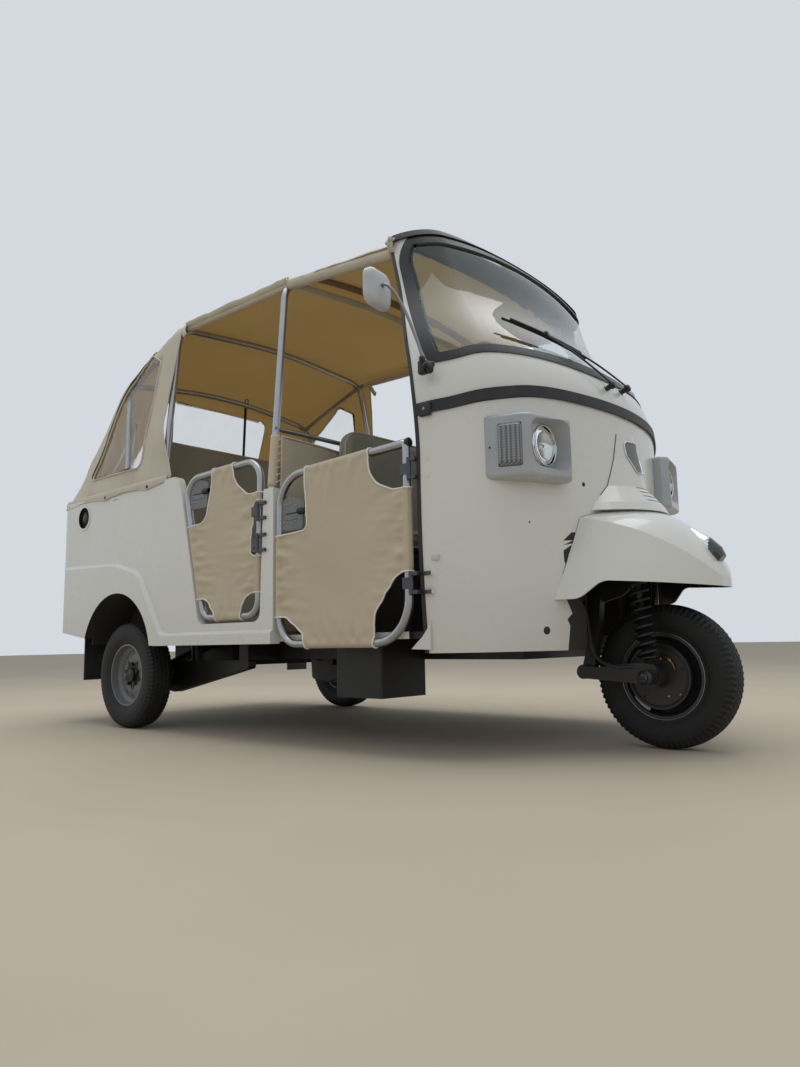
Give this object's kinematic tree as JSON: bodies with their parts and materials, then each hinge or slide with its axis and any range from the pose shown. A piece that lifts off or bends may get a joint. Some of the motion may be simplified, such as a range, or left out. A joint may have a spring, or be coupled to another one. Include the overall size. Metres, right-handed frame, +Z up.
{
  "type": "auto rickshaw",
  "caption": "Three-wheeled passenger taxi with rounded front cab over one steered wheel, tube-framed canvas doors, rear tub and folding canvas roof",
  "frame": {"origin": "on the floor, at the middle of the overall length and width", "axes": "+X forward along the length, +Y to the vehicle's left, +Z up"},
  "size_m": [3.15, 1.8276, 1.908],
  "materials": {
    "white_paint": "gloss cream white paint",
    "canvas": "beige coated canvas",
    "door_canvas": "beige coated canvas with white piping",
    "clear_film": "clear soft film",
    "glass": "clear",
    "rubber": "black rubber",
    "tyre": "black tyre rubber",
    "rim_paint": "silver grey paint",
    "lamp_housing": "silver plastic",
    "lens": "clear lens",
    "red_lens": "red lens",
    "chrome": "bright",
    "frame_tube": "silver tube",
    "black_steel": "black chassis paint",
    "black_plastic": "black",
    "grey_plastic": "grey",
    "seat_cover": "olive seat cover",
    "engine_metal": "cast casing"
  },
  "bodies": {
    "chassis": {"cab_shell": "white_paint", "windscreen": "glass", "windscreen_gasket": "rubber", "rubber_trim": "rubber", "headlamp_housings": "lamp_housing", "headlamp_lenses": "lens", "nose_cover": "white_paint", "front_mudguard": "white_paint", "mudguard_lamp": "chrome", "wiper": "black_plastic", "mirrors": "grey_plastic", "side_panel_right": "white_paint", "side_panel_left": "white_paint", "rear_panel": "white_paint", "wheel_liners": "white_paint", "floor_pan": "white_paint", "chassis_rails": "black_steel", "rear_subframe": "black_steel", "steering_head": "black_steel", "battery_box": "black_plastic", "engine": "engine_metal", "rear_suspension": "black_steel", "driver_seat": "seat_cover", "passenger_seat": "seat_cover", "partition": "canvas", "canopy": "canvas", "canopy_windows": "clear_film", "canopy_frame": "frame_tube", "tail_lamps": "red_lens", "mud_flaps": "rubber", "dashboard": "black_plastic"},
    "steering": {"steering_column": "black_steel", "handlebar": "black_plastic", "swing_arm": "black_steel", "front_spring": "black_steel"},
    "front_wheel": {"front_tyre": "tyre", "front_rim": "rim_paint"},
    "rear_wheel_right": {"rear_tyre_right": "tyre", "rear_rim_right": "rim_paint"},
    "driver_door_right": {"driver_door_frame_right": "frame_tube", "driver_door_canvas_right": "door_canvas"},
    "passenger_door_right": {"passenger_door_frame_right": "frame_tube", "passenger_door_canvas_right": "door_canvas"},
    "rear_wheel_left": {"rear_tyre_left": "tyre", "rear_rim_left": "rim_paint"},
    "driver_door_left": {"driver_door_frame_left": "frame_tube", "driver_door_canvas_left": "door_canvas"},
    "passenger_door_left": {"passenger_door_frame_left": "frame_tube", "passenger_door_canvas_left": "door_canvas"},
    "engine_lid": {"rear_lid": "white_paint"}
  },
  "joints": [
    {"name": "steering_turn", "type": "hinge", "parent": "chassis", "child": "steering", "pos_m": [1.0478, 0, 0.7], "axis": [-0.4695, 0, 0.8829], "range_deg": [-38, 38]},
    {"name": "front_wheel_spin", "type": "hinge", "parent": "steering", "child": "front_wheel", "pos_m": [1.34, 0, 0.235], "axis": [0, 1, 0], "continuous": true},
    {"name": "rear_wheel_right_spin", "type": "hinge", "parent": "chassis", "child": "rear_wheel_right", "pos_m": [-0.88, -0.6625, 0.235], "axis": [0, 1, 0], "continuous": true},
    {"name": "rear_wheel_left_spin", "type": "hinge", "parent": "chassis", "child": "rear_wheel_left", "pos_m": [-0.88, 0.6625, 0.235], "axis": [0, 1, 0], "continuous": true},
    {"name": "driver_door_right_hinge", "type": "hinge", "parent": "chassis", "child": "driver_door_right", "pos_m": [0.863, -0.737, 0.72], "axis": [0, 0, 1], "range_deg": [0, 75]},
    {"name": "passenger_door_right_hinge", "type": "hinge", "parent": "chassis", "child": "passenger_door_right", "pos_m": [0.116, -0.748, 0.795], "axis": [0, 0, 1], "range_deg": [0, 80]},
    {"name": "driver_door_left_hinge", "type": "hinge", "parent": "chassis", "child": "driver_door_left", "pos_m": [0.863, 0.737, 0.72], "axis": [0, 0, -1], "range_deg": [0, 75]},
    {"name": "passenger_door_left_hinge", "type": "hinge", "parent": "chassis", "child": "passenger_door_left", "pos_m": [0.116, 0.748, 0.795], "axis": [0, 0, -1], "range_deg": [0, 80]},
    {"name": "engine_lid_hinge", "type": "hinge", "parent": "chassis", "child": "engine_lid", "pos_m": [-1.564, 0, 0.96], "axis": [0, 1, 0], "range_deg": [0, 70]}
  ]
}
